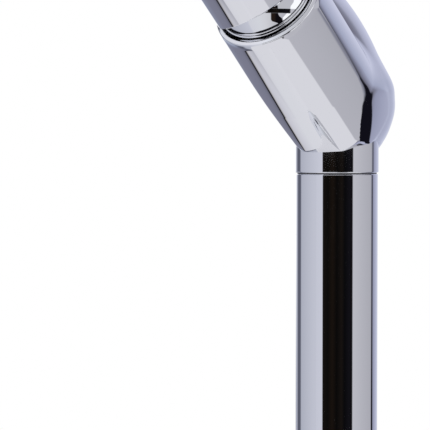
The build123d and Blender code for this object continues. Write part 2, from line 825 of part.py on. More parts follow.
with BuildPart() as handle_cap:
    with BuildSketch(rim.offset(cap_lift)):
        Circle(cap_radius)
    extrude(amount=cap_height - cap_lift)
    fillet(handle_cap.edges().group_by(cap_axis)[-1], cap_top_edge)
    with BuildSketch(rim_side):
        with BuildLine():
            Polyline(
                (notch_start, cap_lift),
                (reach, notch_rise + reach * tan(radians(notch_angle))),
                (reach, cap_lift),
                close=True,
            )
        make_face()
    extrude(amount=reach, both=True, mode=Mode.SUBTRACT)
    fillet(handle_cap.faces().sort_by(cap_axis)[:2].edges(), cap_foot_edge)
    with BuildSketch(rim):
        Circle(cap_radius - cap_wall)
    extrude(amount=cap_height - cap_top_thickness, mode=Mode.SUBTRACT)
    with BuildSketch(spindle.offset(boss_start)):
        Circle(boss_radius)
    extrude(amount=cap_height + pivot_drop - cap_top_thickness / 2 - boss_start)
    with BuildSketch(screw_line):
        Circle(cross_boss_radius)
    extrude(amount=screw_reach - cap_wall / 2)
    with BuildSketch(spindle):
        Rectangle(spindle_width + 2 * fit, spindle_width + 2 * fit)
    extrude(amount=spindle_length + fit, mode=Mode.SUBTRACT)
    with BuildSketch(screw_line):
        Circle(screw_radius + fit)
    extrude(amount=screw_reach + gap, mode=Mode.SUBTRACT)
    with BuildSketch(screw_line.offset(plug_seat)):
        Circle(plug_radius)
    extrude(amount=plug_thickness * 2, mode=Mode.SUBTRACT)
    with BuildSketch(rim.offset(cap_height)):
        with Locations((-lever_offset, 0)):
            Circle(lever_spigot_radius + fit)
    extrude(amount=-lever_spigot_length - fit, mode=Mode.SUBTRACT)
finish(handle_cap, "handle_cap")

with BuildPart() as handle_set_screw:
    with BuildSketch(screw_line.offset(screw_start)):
        Circle(screw_radius)
    extrude(amount=screw_length)
    with BuildSketch(screw_line.offset(screw_start + screw_length)):
        RegularPolygon(screw_key / 2, 6, major_radius=False)
    extrude(amount=-screw_key, mode=Mode.SUBTRACT)
finish(handle_set_screw, "handle_set_screw")

with BuildPart() as index_plug:
    with BuildSketch(screw_line.offset(plug_seat)):
        Circle(plug_radius - fit)
    extrude(amount=plug_thickness * 2)
    with BuildSketch(rim):
        Circle(cap_radius)
    extrude(amount=cap_height, mode=Mode.INTERSECT)
    with BuildSketch(screw_line.offset(plug_seat)):
        Circle(screw_radius - fit)
    extrude(amount=-plug_stem_length)
finish(index_plug, "index_plug")

# Lever: stands square on the cap and curls away from the cap's open side
with BuildLine(rim_side) as lever_path:
    JernArc((-lever_offset, cap_height), (0, 1), lever_length / radians(lever_bend), lever_bend)
lever_wire = lever_path.wires()[0]

with BuildPart() as handle_lever:
    for step in range(lever_sections + 1):
        share = step / lever_sections
        with BuildSketch(Plane(origin=lever_wire @ share, x_dir=rim.y_dir, z_dir=lever_wire % share)):
            width = lever_root_width + (lever_tip_width - lever_root_width) * share
            depth = lever_root_depth + (lever_tip_depth - lever_root_depth) * share
            RectangleRounded(width, depth, depth * lever_corner_share)
    loft()
    lever_end = handle_lever.faces().sort_by(Axis(lever_wire @ 0, lever_wire % 1))[-1]
    fillet(lever_end.edges(), lever_end_edge)
    with BuildSketch(rim.offset(cap_height)):
        with Locations((-lever_offset, 0)):
            Circle(lever_spigot_radius)
    extrude(amount=-lever_spigot_length)
finish(handle_lever, "handle_lever")
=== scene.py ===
import json
import math

import bmesh
import bpy
import numpy as np
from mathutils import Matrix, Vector


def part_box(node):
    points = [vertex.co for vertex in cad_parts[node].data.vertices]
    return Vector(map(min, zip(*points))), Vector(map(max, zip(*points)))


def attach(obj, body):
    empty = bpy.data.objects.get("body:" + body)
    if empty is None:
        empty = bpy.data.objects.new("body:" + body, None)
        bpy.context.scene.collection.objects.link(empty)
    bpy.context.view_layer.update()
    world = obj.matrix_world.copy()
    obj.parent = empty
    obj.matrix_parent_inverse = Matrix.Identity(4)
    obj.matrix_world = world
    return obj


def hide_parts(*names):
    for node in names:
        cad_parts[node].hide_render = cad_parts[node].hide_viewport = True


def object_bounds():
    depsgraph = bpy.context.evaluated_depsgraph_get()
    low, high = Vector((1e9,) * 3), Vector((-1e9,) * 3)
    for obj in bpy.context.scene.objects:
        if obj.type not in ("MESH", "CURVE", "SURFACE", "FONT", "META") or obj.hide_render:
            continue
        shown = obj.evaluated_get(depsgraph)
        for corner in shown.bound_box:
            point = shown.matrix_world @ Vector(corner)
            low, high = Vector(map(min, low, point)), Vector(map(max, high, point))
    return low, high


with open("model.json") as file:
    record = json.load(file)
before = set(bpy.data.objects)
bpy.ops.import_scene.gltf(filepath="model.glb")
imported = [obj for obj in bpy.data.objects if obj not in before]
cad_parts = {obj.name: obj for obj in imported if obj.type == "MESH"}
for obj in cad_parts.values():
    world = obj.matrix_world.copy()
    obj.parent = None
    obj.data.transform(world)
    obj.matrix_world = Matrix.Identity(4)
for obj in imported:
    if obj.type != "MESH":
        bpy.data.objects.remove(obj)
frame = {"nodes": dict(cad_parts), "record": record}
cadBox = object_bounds()
nodes = frame["nodes"]
print("frame loaded")

# the part's own directions, in millimetres like every shape below
mm = 0.001
lean = math.radians(52)
barrelLength = 73.3
axisStart = np.array([0.0, 0.0, 190.2])
barrelAxis = np.array([math.sin(lean), 0.0, math.cos(lean)])
slantX = np.array([math.cos(lean), 0.0, -math.sin(lean)])
slantY = np.array([0.0, 1.0, 0.0])
rimCentre = axisStart + barrelLength * barrelAxis
worldX, worldY, worldZ = np.identity(3)

# materials


def newMaterial(name):
    material = bpy.data.materials.new(name)
    material.use_nodes = True
    tree = material.node_tree
    return material, tree, tree.nodes["Principled BSDF"]


def addNode(tree, kind, inputs=None, **settings):
    node = tree.nodes.new(kind)
    for key, value in settings.items():
        setattr(node, key, value)
    for key, value in (inputs or {}).items():
        if isinstance(value, bpy.types.NodeSocket):
            tree.links.new(value, node.inputs[key])
        else:
            node.inputs[key].default_value = value
    return node


def addMath(tree, operation, *values, clamp=False):
    node = addNode(tree, "ShaderNodeMath", dict(enumerate(values)), operation=operation)
    node.use_clamp = clamp
    return node.outputs[0]


def noiseAt(tree, scale, detail, stretch=(1, 1, 1)):
    place = addNode(tree, "ShaderNodeTexCoord").outputs["Object"]
    mapped = addNode(tree, "ShaderNodeMapping", {"Vector": place, "Scale": stretch}).outputs[0]
    noise = addNode(tree, "ShaderNodeTexNoise", {"Vector": mapped, "Scale": scale, "Detail": detail})
    return noise.outputs[0]


def roughen(tree, shader, grain, smoothest, roughest):
    noiseLow, noiseHigh = 0.3, 0.7  # most of the noise lies between these
    spread = {0: grain, 1: noiseLow, 2: noiseHigh, 3: smoothest, 4: roughest}
    rough = addNode(tree, "ShaderNodeMapRange", spread).outputs[0]
    tree.links.new(rough, shader.inputs["Roughness"])


def raiseGrain(tree, shader, grain, depth):
    raised = addNode(tree, "ShaderNodeBump", {"Strength": 1.0, "Distance": depth, "Height": grain})
    tree.links.new(raised.outputs[0], shader.inputs["Normal"])


def metalMaterial(name, colour, smoothest, roughest, scale, depth, stretch=(1, 1, 1)):
    material, tree, shader = newMaterial(name)
    shader.inputs["Metallic"].default_value = 1.0
    shader.inputs["Base Color"].default_value = (*colour, 1)
    grain = noiseAt(tree, scale, 3.0, stretch)
    roughen(tree, shader, grain, smoothest, roughest)
    raiseGrain(tree, shader, grain, depth)
    return material


def plasticMaterial(name, dark, light, smoothest, roughest, scale, depth):
    material, tree, shader = newMaterial(name)
    grain = noiseAt(tree, scale, 4.0)
    colour = addNode(tree, "ShaderNodeMix", {0: grain, 6: (*dark, 1), 7: (*light, 1)}, data_type="RGBA")
    tree.links.new(colour.outputs[2], shader.inputs["Base Color"])
    roughen(tree, shader, grain, smoothest, roughest)
    raiseGrain(tree, shader, grain, depth)
    return material


chrome = {"colour": (0.87, 0.875, 0.89), "smoothest": 0.015, "roughest": 0.035, "scale": 60}

# colour, roughness from and to, grain scale, grain depth in metres, stretch of the grain where it has one
metals = {
    "polished_chrome": (*chrome.values(), 0.0000002),
    "plain_brass": ((0.73, 0.53, 0.25), 0.22, 0.38, 900, 0.000004, (1, 1, 0.1)),
    "zinc_steel": ((0.60, 0.61, 0.62), 0.3, 0.5, 700, 0.000005),
    "copper_tube": ((0.71, 0.38, 0.24), 0.2, 0.4, 500, 0.000004, (1, 1, 0.03)),
}
# dark and light colour, roughness from and to, grain scale, grain depth in metres
plastics = {
    "black_rubber": ((0.012, 0.012, 0.013), (0.03, 0.03, 0.031), 0.6, 0.8, 1500, 0.00002),
    "dark_plastic": ((0.02, 0.02, 0.023), (0.045, 0.045, 0.05), 0.35, 0.5, 1200, 0.00001),
    "white_plastic": ((0.72, 0.72, 0.69), (0.8, 0.8, 0.77), 0.4, 0.55, 1200, 0.00001),
    "red_plastic": ((0.42, 0.015, 0.015), (0.5, 0.025, 0.02), 0.25, 0.35, 900, 0.000005),
    "blue_plastic": ((0.02, 0.08, 0.4), (0.03, 0.11, 0.48), 0.25, 0.35, 900, 0.000005),
    "ceramic": ((0.82, 0.8, 0.74), (0.88, 0.86, 0.8), 0.12, 0.2, 1500, 0.000001),
}
finishes = {name: metalMaterial(name, *values) for name, values in metals.items()}
finishes.update({name: plasticMaterial(name, *values) for name, values in plastics.items()})

# painted shade on the rim's chrome: its colour is dark in the barrel's mouth and in the grooves between the
# rings of the cover, and a painted reflection of a dark corner widens the dark on the near and far sides;
# heights are above the rim, angles round the barrel's axis
rimPaintedShade = {
    # the colour of the painted shade and painted reflection
    "colour": (0.02, 0.02, 0.025),
    "soft": 0.03,
    "mouthHeights": (-9.0, 0.3),
    "mouthRadii": (5.0, 20.42),
    "lipHeights": (-2.0, 0.8),
    "lipRadii": (20.15, 23.0),
    "lipSoft": 0.08,
    "lipFar": 0.75,
    "lipNear": 0.4,
    "lineHeights": (1.53, 2.72),
    "lineRadii": (18.0, 20.5),
    "line": 0.07,
    "lineNear": 0.22,
    "upperLineFar": 0.4,
    "farSide": (-58, -48, -22, -4),
    "nearSide": (8, 16, 34, 48),
}


def paintedShadeRimMaterial():
    material, tree, shader = newMaterial("polished_chrome_rim_painted_shade")
    shader.inputs["Metallic"].default_value = 1.0
    shader.inputs["Base Color"].default_value = (*chrome["colour"], 1)
    roughen(tree, shader, noiseAt(tree, chrome["scale"], 3.0), chrome["smoothest"], chrome["roughest"])
    place = addNode(tree, "ShaderNodeTexCoord").outputs["Object"]
    fromRim = addNode(tree, "ShaderNodeVectorMath", {0: place, 1: tuple(rimCentre * mm)},
                      operation="SUBTRACT").outputs[0]

    def combine(operation, *values, clamp=False):
        return addMath(tree, operation, *values, clamp=clamp)

    def along(vector):
        return addNode(tree, "ShaderNodeVectorMath", {0: fromRim, 1: tuple(vector)},
                       operation="DOT_PRODUCT").outputs[1]

    def rising(value, low, high):
        return addNode(tree, "ShaderNodeMapRange", {0: value, 1: low, 2: high}).outputs[0]

    def within(value, name):
        low, high = rimPaintedShade[name]
        soft = rimPaintedShade["soft"]
        return combine("MULTIPLY", rising(value, (low - soft) * mm, (low + soft) * mm),
                       rising(value, (high + soft) * mm, (high - soft) * mm))

    def sharpened(first, second, soft):
        # 1 where the first is larger than the second by soft or more, 0 where it is smaller
        return combine("MULTIPLY", combine("SUBTRACT", first, second), 1 / (soft * mm), clamp=True)

    height = along(barrelAxis)
    first, second = along(slantX), along(slantY)
    radius = combine("SQRT", combine("ADD", combine("POWER", first, 2.0), combine("POWER", second, 2.0)))
    angle = combine("ARCTAN2", second, first)

    def onSide(name):
        start, full, fading, end = [math.radians(a) for a in rimPaintedShade[name]]
        return combine("MULTIPLY", rising(angle, start, full), rising(angle, end, fading))

    farSide, nearSide = onSide("farSide"), onSide("nearSide")
    mouth = combine("MULTIPLY", within(height, "mouthHeights"), within(radius, "mouthRadii"))
    # the painted dark reaches further out over the lip on both sides, as a painted reflection
    lipReach = combine("MULTIPLY_ADD", farSide, rimPaintedShade["lipFar"] * mm, rimPaintedShade["mouthRadii"][1] * mm)
    lipReach = combine("MULTIPLY_ADD", nearSide, rimPaintedShade["lipNear"] * mm, lipReach)
    lip = combine("MULTIPLY", sharpened(lipReach, radius, rimPaintedShade["lipSoft"]), within(radius, "lipRadii"))
    lip = combine("MULTIPLY", lip, within(height, "lipHeights"))
    # a thin line of painted shade above each ring, wider on the near and far sides as a painted reflection
    reach = combine("MULTIPLY_ADD", nearSide, rimPaintedShade["lineNear"] * mm, rimPaintedShade["line"] * mm)
    upperReach = combine("MULTIPLY_ADD", farSide, rimPaintedShade["upperLineFar"] * mm, reach)
    lines = []
    for level, width in zip(rimPaintedShade["lineHeights"], (reach, upperReach)):
        away = combine("ABSOLUTE", combine("SUBTRACT", height, level * mm))
        lines.append(sharpened(width, away, rimPaintedShade["soft"]))
    grooves = combine("MULTIPLY", combine("MAXIMUM", *lines), within(radius, "lineRadii"))
    # painted shade and painted reflection, mixed into the chrome's colour
    dark = combine("MAXIMUM", combine("MAXIMUM", mouth, lip), grooves)
    colours = {0: dark, 6: (*chrome["colour"], 1), 7: (*rimPaintedShade["colour"], 1)}
    colour = addNode(tree, "ShaderNodeMix", colours, data_type="RGBA")
    tree.links.new(colour.outputs[2], shader.inputs["Base Color"])
    return material


chromeWithPaintedShade = paintedShadeRimMaterial()
worktopLevel = 0.0005
for part in frame["record"]["subparts"]:
    cadObject = nodes[part["node"]]
    cadObject.data.materials.clear()
    cadObject.data.materials.append(finishes[part["material_slot"]])
    # the worktop hides what is under it, so the chrome above doesn't mirror it
    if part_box(part["node"])[1].z < worktopLevel or part["node"] == "base_gasket":
        cadObject.visible_glossy = False
print("materials on the CAD nodes")

# helpers for meshes


def meshPiece(name, points, faces, cornerNormals, material, slotName, body):
    mesh = bpy.data.meshes.new(name)
    mesh.from_pydata((np.asarray(points) * mm).tolist(), [], faces)
    mesh.polygons.foreach_set("use_smooth", [True] * len(mesh.polygons))
    mesh.update()
    mesh.normals_split_custom_set(cornerNormals)
    mesh.materials.append(material)
    piece = bpy.data.objects.new(name, mesh)
    bpy.context.scene.collection.objects.link(piece)
    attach(piece, body)
    return piece


def turnedBy(vector, angle):
    c, s = math.cos(angle), math.sin(angle)
    return np.array([vector[0] * c - vector[1] * s, vector[0] * s + vector[1] * c])


# a turned outline is a list of runs (start, start normal, end, end normal), with the normals on its right;
# the corners that make one are (radius, height) or (radius, height, edge radius)
def roundedProfile(corners, arcSteps=5):
    points = [np.array(corner[:2], float) for corner in corners]
    ways = [(b - a) / np.linalg.norm(b - a) for a, b in zip(points[:-1], points[1:])]
    runs = []
    before = points[0]
    for i, way in enumerate(ways, 1):
        here = points[i]
        normal = np.array([way[1], -way[0]])
        edge = corners[i][2] if len(corners[i]) > 2 and i < len(ways) else 0
        if not edge:
            runs.append((before, normal, here, normal))
            before = here
            continue
        onward = ways[i]
        turn = math.acos(max(-1, min(1, way @ onward)))
        start = here - way * edge * math.tan(turn / 2)
        runs.append((before, normal, start, normal))
        sign = 1 if way[0] * onward[1] - way[1] * onward[0] > 0 else -1
        centre = start - sign * normal * edge
        before, lastNormal = start, normal
        for step in range(1, arcSteps + 1):
            turned = turnedBy(normal, sign * turn * step / arcSteps)
            point = centre + sign * turned * edge
            runs.append((before, lastNormal, point, turned))
            before, lastNormal = point, turned
    return runs


def turnedGeometry(runs, origin, xDir, yDir, zDir, around):
    angles = np.linspace(0, 2 * math.pi, around, endpoint=False)
    spokes = np.outer(np.cos(angles), xDir) + np.outer(np.sin(angles), yDir)
    points, faces, normals = [], [], []
    for p0, n0, p1, n1 in runs:
        base = len(points)
        for spoke in spokes:
            points.append(origin + spoke * p0[0] + zDir * p0[1])
            points.append(origin + spoke * p1[0] + zDir * p1[1])
        for i in range(around):
            j = (i + 1) % around
            faces.append((base + 2 * i, base + 2 * j, base + 2 * j + 1, base + 2 * i + 1))
            for spoke, n in ((spokes[i], n0), (spokes[j], n0), (spokes[j], n1), (spokes[i], n1)):
                normals.append(tuple(spoke * n[0] + zDir * n[1]))
    return points, faces, normals


# body casting: the collar, barrel, heel and spout as one blended surface, with turned ends
body = {
    "gridStep": 0.9,
    "collarRadius": 17.8,
    "barrelStart": 27.0,
    "barrelStartRadius": 23.5,
    "barrelEndRadius": 23.0,
    "backHeights": (176, 190),  # the barrel's back end, by height
    "backPlaces": (3.0, -6.0),
    "heelCentre": np.array([-2.5, 0.6, 191.7]),
    "heelRadii": np.array([22.6, 23.9, 22.0]),
    "spoutStart": (0.0, 182.3),
    "spoutArcs": ((75.6, 46.0), (115.0, 44.0), (36.0, 50.0)),  # radius and degrees of each arc
    "spoutRootRadius": 25.2,
    "spoutMidRadius": 19.5,
    "spoutTipRadius": 14.0,
    "spoutFoot": 191.5,
    "blend": 8.0,
    "heelBlend": 4.0,
    "creaseHeights": (188, 208),
    "creaseWidths": (3.0, 2.5),
    "edgeBlend": 0.25,
    # the blended surface stops barrelCut and tipCut behind the rims and at the height collarCut, and the
    # turned ends go on from there; their corners are (radius, height, edge radius)
    "barrelCut": 6.3,
    "barrelEnd": [(23.03, -2.6, 14.0), (22.75, -0.6, 1.0), (21.6, 0.3, 0.9), (20.25, 0.3, 0.25),
                  (20.2, -3.0), (19.0, -3.0), (19.0, -8.0), (17.5, -8.0)],
    "tipCut": 3.0,
    "tip": [(14.0, 0.0, 0.6), (12.05, 0.0, 0.1), (12.05, -8.0)],
    "collarCut": 172.0,
    "collar": [(14.0, 173.5), (14.0, 165.5), (17.8, 165.5, 0.5), (17.8, 180.0), (12.0, 180.0)],
    "around": 144,
    "tipAround": 120,
}
# the barrel's sides draw in towards the collar; each steepness brings a field close to true distance
flank = {
    "foot": 178.4,
    "top": 203.0,
    "halfWidth": 23.6,
    "curve": 1.75,
    "steepness": 0.93,
    "bulgePlace": (2.0, 178.0),
    "bulgeLean": 0.5,
    "bulgeTop": 206.0,
    "bulgeFade": 10.0,
    "bulgeBehind": 0.0035,
    "bulgeAhead": 0.009,
    "bulgeLimit": 250.0,
}
frontSide = {"across": (0.494, -0.8695), "foot": 177.3, "rise": 0.78, "steepness": 0.79, "blend": 2.0}
rearBelly = {"height": 176.1, "place": 13.6, "rise": 0.73, "steepness": 0.81, "blend": 1.0}
barrelSlope = (body["barrelEndRadius"] - body["barrelStartRadius"]) / (barrelLength - body["barrelStart"])


def spoutPath():
    # arcs in the YZ plane, as (centre, direction to the start, radius, angle, length before)
    point, way, arcs, length = np.array(body["spoutStart"]), np.array([0.0, 1.0]), [], 0.0
    for radius, degreesTurned in body["spoutArcs"]:
        angle = math.radians(degreesTurned)
        centre = point + radius * np.array([-way[1], way[0]])
        start = (point - centre) / radius
        arcs.append((centre, start, radius, angle, length))
        end = turnedBy(start, angle)
        point = centre + radius * end
        way = np.array([-end[1], end[0]])
        length += radius * angle
    return arcs, length, point, way


spoutArcs, spoutLength, spoutEnd, spoutWay = spoutPath()
bendShare = spoutArcs[1][4] / spoutLength
tipCentre = np.array([0.0, spoutEnd[0], spoutEnd[1]])
tipAxis = np.array([0.0, spoutWay[0], spoutWay[1]])


def spoutRadius(share):
    root, middle, tip = body["spoutRootRadius"], body["spoutMidRadius"], body["spoutTipRadius"]
    near = root + (middle - root) * share / bendShare
    far = middle + (tip - middle) * (share - bendShare) / (1 - bendShare)
    return np.where(share < bendShare, near, far)


def barrelRadius(along):
    return body["barrelStartRadius"] + barrelSlope * np.maximum(along - body["barrelStart"], 0)


def blendUnion(a, b, width):
    gap = np.maximum(width - np.abs(a - b), 0) / width
    return np.minimum(a, b) - gap * gap * width / 4


def blendCut(a, b, width):
    return -blendUnion(-a, -b, width)


def spoutField(p):
    q = p[:, 1:]
    best = np.full(len(p), 1e9)
    for centre, start, radius, angle, before in spoutArcs:
        v = q - centre
        theta = np.arctan2(start[0] * v[:, 1] - start[1] * v[:, 0], v @ start)
        theta = np.clip(theta, 0, angle)
        c, s = np.cos(theta), np.sin(theta)
        nearest = centre + radius * np.stack([start[0] * c - start[1] * s, start[0] * s + start[1] * c], -1)
        away = np.sqrt(p[:, 0] ** 2 + ((q - nearest) ** 2).sum(-1))
        best = np.minimum(best, away - spoutRadius((before + radius * theta) / spoutLength))
    return best


def rearFlankField(x, y, z):
    # the rear side is slightly rounded
    rise = np.clip((z - flank["foot"]) / (flank["top"] - flank["foot"]), 0, 1)
    spread = flank["halfWidth"] - body["collarRadius"]
    halfWidth = body["collarRadius"] + spread * (1 - (1 - rise) ** flank["curve"])
    across = x - flank["bulgePlace"][0] - flank["bulgeLean"] * (z - flank["bulgePlace"][1])
    ahead = flank["bulgeAhead"] * across ** 2 / (1 + across ** 2 / flank["bulgeLimit"])
    bulge = np.where(across > 0, ahead, flank["bulgeBehind"] * across ** 2)
    fade = np.clip((flank["bulgeTop"] - z) / flank["bulgeFade"], 0, 1)
    return (y - halfWidth + bulge * fade * fade * (3 - 2 * fade)) * flank["steepness"]


def barrelField(p, rearFlank):
    x, y, z = p[:, 0], p[:, 1], p[:, 2]
    fromAxis = p - axisStart
    along = fromAxis @ barrelAxis
    tube = np.linalg.norm(fromAxis - along[:, None] * barrelAxis, axis=1) - barrelRadius(along)
    back = np.interp(z, body["backHeights"], body["backPlaces"]) - x
    across = frontSide["across"][0] * x + frontSide["across"][1] * y
    front = across - body["collarRadius"] - frontSide["rise"] * (z - frontSide["foot"])
    belly = rearBelly["height"] + rearBelly["rise"] * (y - rearBelly["place"]) - z
    tube = blendCut(tube, back, body["blend"])
    tube = blendCut(tube, rearFlank, body["edgeBlend"])
    tube = blendCut(tube, front * frontSide["steepness"], frontSide["blend"])
    return blendCut(tube, belly * rearBelly["steepness"], rearBelly["blend"])


def heelField(p):
    # close to the distance from an ellipsoid
    offset = (p - body["heelCentre"]) / body["heelRadii"]
    k0 = np.linalg.norm(offset, axis=1)
    k1 = np.linalg.norm(offset / body["heelRadii"], axis=1)
    return k0 * (k0 - 1) / np.maximum(k1, 1e-6)


def bodyField(p):
    z = p[:, 2]
    rearFlank = rearFlankField(p[:, 0], p[:, 1], z)
    spout = blendCut(spoutField(p), body["spoutFoot"] - z, body["blend"])
    low = blendCut(blendUnion(heelField(p), spout, body["blend"]), rearFlank, body["heelBlend"])
    crease = np.interp(z, body["creaseHeights"], body["creaseWidths"])
    return blendCut(blendUnion(barrelField(p, rearFlank), low, crease), rearFlank, body["edgeBlend"])


def gradientOf(field, p, reach):
    out = np.empty_like(p)
    for i, move in enumerate(np.identity(3) * reach):
        out[:, i] = (field(p + move) - field(p - move)) / (2 * reach)
    return out


# points and quads close to the zero surface of a field, one point in each grid cell that it crosses
def surfaceNet(field, low, high, step):
    axes = [np.arange(low[i], high[i] + step, step) for i in range(3)]
    sizes = [len(a) for a in axes]
    values = np.empty(sizes)
    yy, zz = np.meshgrid(axes[1], axes[2], indexing="ij")
    flat = np.stack([yy.ravel() * 0, yy.ravel(), zz.ravel()], -1)
    for i, x in enumerate(axes[0]):
        flat[:, 0] = x
        values[i] = field(flat).reshape(yy.shape)
    inside = values < 0
    cells = [n - 1 for n in sizes]
    total = np.zeros((*cells, 3))
    hits = np.zeros(cells)
    crossings = []
    for axis in range(3):
        a = [slice(None)] * 3
        b = [slice(None)] * 3
        a[axis], b[axis] = slice(0, -1), slice(1, None)
        v0, v1 = values[tuple(a)], values[tuple(b)]
        crossed = inside[tuple(a)] != inside[tuple(b)]
        share = np.where(crossed, v0 / np.where(crossed, v0 - v1, 1), 0)
        grids = np.meshgrid(*[ax[:-1] if k == axis else ax for k, ax in enumerate(axes)], indexing="ij")
        place = np.stack(grids, -1)
        place[..., axis] += share * step
        others = [k for k in range(3) if k != axis]
        for d0, d1 in ((0, 0), (0, 1), (1, 0), (1, 1)):
            take = [slice(None)] * 3
            take[others[0]] = slice(d0, sizes[others[0]] - 1 + d0)
            take[others[1]] = slice(d1, sizes[others[1]] - 1 + d1)
            mask = crossed[tuple(take)]
            total += place[tuple(take)] * mask[..., None]
            hits += mask
        crossings.append((axis, crossed, inside[tuple(a)]))
    active = hits > 0
    number = np.full(cells, -1)
    number[active] = np.arange(active.sum())
    points = total[active] / hits[active][:, None]
    faces = []
    for axis, crossed, startInside in crossings:
        u, v = (axis + 1) % 3, (axis + 2) % 3
        # an edge on the outside of the grid has no ring of four cells
        edge = np.argwhere(crossed)
        before, after = edge[:, [u, v]], np.array(sizes)[[u, v]] - 1 - edge[:, [u, v]]
        edge = edge[(before.min(1) > 0) & (after.min(1) > 0)]
        outward = startInside[tuple(edge.T)]
        corners = []
        for du, dv in ((-1, -1), (0, -1), (0, 0), (-1, 0)):
            corner = edge.copy()
            corner[:, u] += du
            corner[:, v] += dv
            corners.append(number[tuple(corner.T)])
        quads = np.stack(corners, -1)
        quads[~outward] = quads[~outward][:, ::-1]
        faces.append(quads)
    return points, np.concatenate(faces)


def settled(field, points):
    # moves the points onto the surface itself
    rounds, reach = 4, 0.02
    for _ in range(rounds):
        slope = gradientOf(field, points, reach)
        points = points - (field(points) / (slope ** 2).sum(1))[:, None] * slope
    return points


# cuts the faces that wanted accepts along a plane and drops what lies beyond it
def cutMesh(bm, origin, direction, wanted):
    def middle(face):
        return np.array(face.calc_center_median())

    faces = [f for f in bm.faces if wanted(middle(f))]
    geometry = list({v for f in faces for v in f.verts}) + list({e for f in faces for e in f.edges}) + faces
    bmesh.ops.bisect_plane(bm, geom=geometry, plane_co=origin, plane_no=direction, dist=1e-4)
    gone = [f for f in bm.faces if wanted(middle(f)) and (middle(f) - origin) @ direction > 0]
    bmesh.ops.delete(bm, geom=gone, context="FACES")


def cutSkin(points, quads):
    # the blended surface without its three ends; the spout's tip lies well in front of the barrel
    margin, barrelFront, tipBehind = 6, -40, -90
    bm = bmesh.new()
    created = [bm.verts.new(p) for p in points]
    for quad in quads:
        if len(set(quad)) == 4:
            bm.faces.new([created[i] for i in quad])
    barrelStop = rimCentre - body["barrelCut"] * barrelAxis
    cutMesh(bm, barrelStop, barrelAxis,
            lambda c: (c - barrelStop) @ barrelAxis > -margin and c[1] > barrelFront)
    tipStop = tipCentre - body["tipCut"] * tipAxis
    cutMesh(bm, tipStop, tipAxis, lambda c: (c - tipStop) @ tipAxis > -margin and c[1] < tipBehind)
    cutMesh(bm, body["collarCut"] * worldZ, -worldZ, lambda c: c[2] < body["collarCut"] + margin)
    bmesh.ops.delete(bm, geom=[v for v in bm.verts if not v.link_faces], context="VERTS")
    bm.verts.index_update()
    kept = [np.array(v.co) for v in bm.verts]
    faces = [tuple(v.index for v in f.verts) for f in bm.faces]
    bm.free()
    return kept, faces


# the grid holds the whole casting
gridLow = np.array([-27.0, spoutEnd[0] - body["spoutTipRadius"], 164.0])
gridHigh = np.array([80.0, 28.0, 322.0])
points, quads = surfaceNet(bodyField, gridLow, gridHigh, body["gridStep"])
used, quads = np.unique(quads, return_inverse=True)
points, quads = settled(bodyField, points[used]), quads.reshape(-1, 4)
print("body skin", len(points), "points", len(quads), "faces")
skinPoints, skinFaces = cutSkin(points, quads)
normalReach = 0.06
smooth = gradientOf(bodyField, np.array(skinPoints), normalReach)
smooth /= np.linalg.norm(smooth, axis=1)[:, None]
skinNormals = [tuple(smooth[i]) for face in skinFaces for i in face]


def addTurned(corners, origin, xDir, yDir, zDir, around):
    more, faces, normals = turnedGeometry(roundedProfile(corners), origin, xDir, yDir, zDir, around)
    base = len(skinPoints)
    skinPoints.extend(more)
    skinFaces.extend(tuple(base + i for i in f) for f in faces)
    skinNormals.extend(normals)


barrelJoin = (float(barrelRadius(barrelLength - body["barrelCut"])), -body["barrelCut"])
addTurned([barrelJoin, *body["barrelEnd"]], rimCentre, slantX, slantY, barrelAxis, body["around"])
tipJoin = (float(spoutRadius(1 - body["tipCut"] / spoutLength)), -body["tipCut"])
addTurned([tipJoin, *body["tip"]], tipCentre, worldX, np.cross(tipAxis, worldX), tipAxis, body["tipAround"])
addTurned(body["collar"], np.zeros(3), worldX, worldY, worldZ, body["around"])

# the casting's chrome carries painted shade in the barrel's mouth and over its lip
bodySkin = meshPiece("body_skin", skinPoints, skinFaces, skinNormals, chromeWithPaintedShade, "polished_chrome", "root")
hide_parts("mixer_body")
print("body skin placed")

# cover: two round beads and a dome in the barrel's mouth; places are (radius, height above the rim)
cover = {
    "domeCentre": (0.0, -5.0),
    "domeRadius": 20.4,
    "lowBead": (19.25, 0.9),
    "lowBeadRadius": 0.64,
    "highBead": (19.02, 2.1),
    "highBeadRadius": 0.62,
    "holeRadius": 10.5,
    "wall": 1.3,
    "foot": [(17.9, -3.0), (19.3, -3.0, 0.2), (19.3, 0.3)],
    "inside": [(17.9, -0.4), (17.9, -3.0)],
    "lowBeadStart": -80,
    "around": 144,
}


def arcRuns(centre, radius, first, last, side=1, steps=12):
    runs = []
    angles = np.linspace(first, last, steps + 1)
    for pair in zip(angles[:-1], angles[1:]):
        ends = []
        for angle in pair:
            way = np.array([math.cos(angle), math.sin(angle)])
            ends += [way * radius + np.array(centre), way * side]
        runs.append(tuple(ends))
    return runs


# angles on circle A and on circle B of their crossing on the right of the line from A to B
def meeting(centreA, radiusA, centreB, radiusB):
    line = np.array(centreB) - np.array(centreA)
    gap = np.linalg.norm(line)
    line /= gap
    share = (radiusA ** 2 - radiusB ** 2 + gap ** 2) / (2 * gap)
    away = math.sqrt(max(radiusA ** 2 - share ** 2, 0))
    point = np.array(centreA) + share * line + away * np.array([line[1], -line[0]])
    fromA, fromB = point - np.array(centreA), point - np.array(centreB)
    return math.atan2(fromA[1], fromA[0]), math.atan2(fromB[1], fromB[0])


